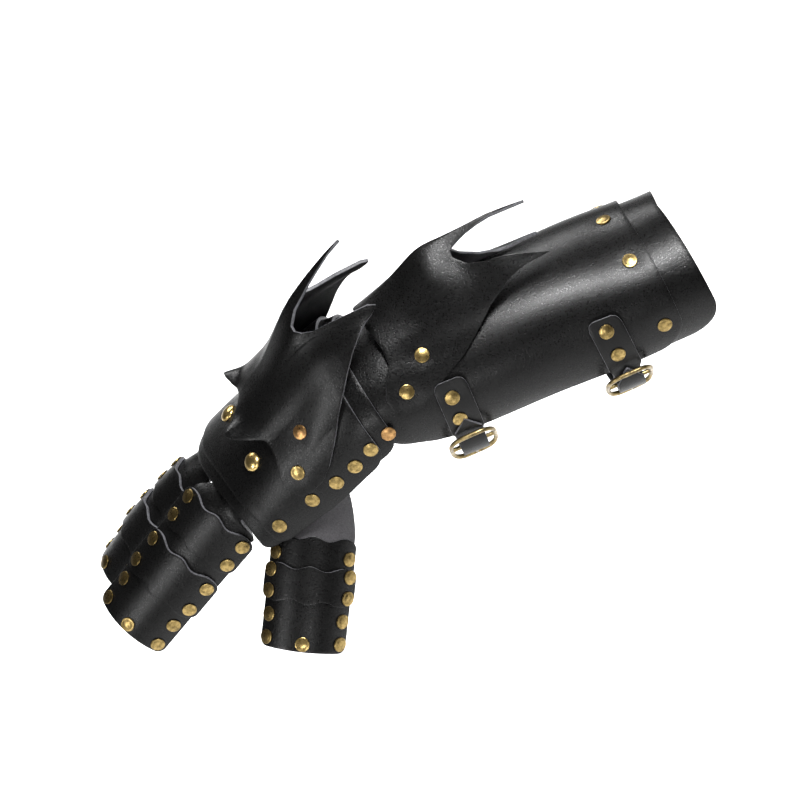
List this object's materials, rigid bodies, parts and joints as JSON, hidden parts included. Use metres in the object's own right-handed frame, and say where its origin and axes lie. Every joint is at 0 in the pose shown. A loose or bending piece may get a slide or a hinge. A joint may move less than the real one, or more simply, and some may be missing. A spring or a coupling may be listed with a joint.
{
  "type": "armoured gauntlet",
  "caption": "Riveted leather guard for a right hand and forearm: cuff with buckled straps, spiked hand and wrist plates, and overlapping finger and thumb lames.",
  "frame": {"origin": "centre of the wearer's wrist, inside the wrist end of the cuff", "axes": "+X runs up the forearm towards the elbow, +Z points out of the back of the hand and forearm, the thumb side is towards -Y"},
  "size_m": [0.4118, 0.1512, 0.2217],
  "materials": {
    "plate_leather": "black finished leather with a fine grain and a soft satin shine",
    "strap_leather": "black strap leather, satin",
    "brass_rivet": "antique brass, lightly polished",
    "brass_dome": "polished brass",
    "bronze": "aged bronze plate, worn bright on its ridges"
  },
  "bodies": {
    "root": {"bracer_inner": "plate_leather", "bracer_outer": "plate_leather", "bracer_rivet_1": "brass_rivet", "bracer_rivet_2": "brass_rivet", "bracer_rivet_3": "brass_rivet", "bracer_rivet_4": "brass_rivet", "bracer_rivet_5": "brass_rivet", "dome_rivet_1": "brass_dome", "dome_rivet_2": "brass_dome", "elbow_billet": "strap_leather", "elbow_billet_rivet": "brass_rivet", "elbow_buckle": "bronze", "elbow_prong": "bronze", "elbow_tab": "strap_leather", "elbow_tab_rivet_1": "brass_rivet", "elbow_tab_rivet_2": "brass_rivet", "forearm_spike_plate": "plate_leather", "forearm_spike_rivet_far_1": "brass_rivet", "forearm_spike_rivet_far_2": "brass_rivet", "forearm_spike_rivet_near_1": "brass_rivet", "forearm_spike_rivet_near_2": "brass_rivet", "hand_plate_inner": "plate_leather", "hand_plate_outer": "plate_leather", "hand_rivet_1": "brass_rivet", "hand_rivet_2": "brass_rivet", "hand_rivet_3": "brass_rivet", "hand_rivet_4": "brass_rivet", "hand_rivet_5": "brass_rivet", "hand_spike_plate": "plate_leather", "hand_spike_rivet_far_1": "brass_rivet", "hand_spike_rivet_far_2": "brass_rivet", "hand_spike_rivet_near_1": "brass_rivet", "hand_spike_rivet_near_2": "brass_rivet", "index_base": "plate_leather", "index_bridge_1": "plate_leather", "index_bridge_2": "plate_leather", "index_mid": "plate_leather", "index_tip": "plate_leather", "ring_base": "plate_leather", "ring_bridge_1": "plate_leather", "ring_bridge_2": "plate_leather", "ring_mid": "plate_leather", "ring_tip": "plate_leather", "thumb_base": "plate_leather", "thumb_bridge": "plate_leather", "thumb_mid": "plate_leather", "thumb_tip": "plate_leather", "wrist_billet": "strap_leather", "wrist_billet_rivet": "brass_rivet", "wrist_buckle": "bronze", "wrist_prong": "bronze", "wrist_rivet_far": "brass_rivet", "wrist_rivet_near": "brass_rivet", "wrist_tab": "strap_leather", "wrist_tab_rivet_1": "brass_rivet"}
  },
  "joints": []
}
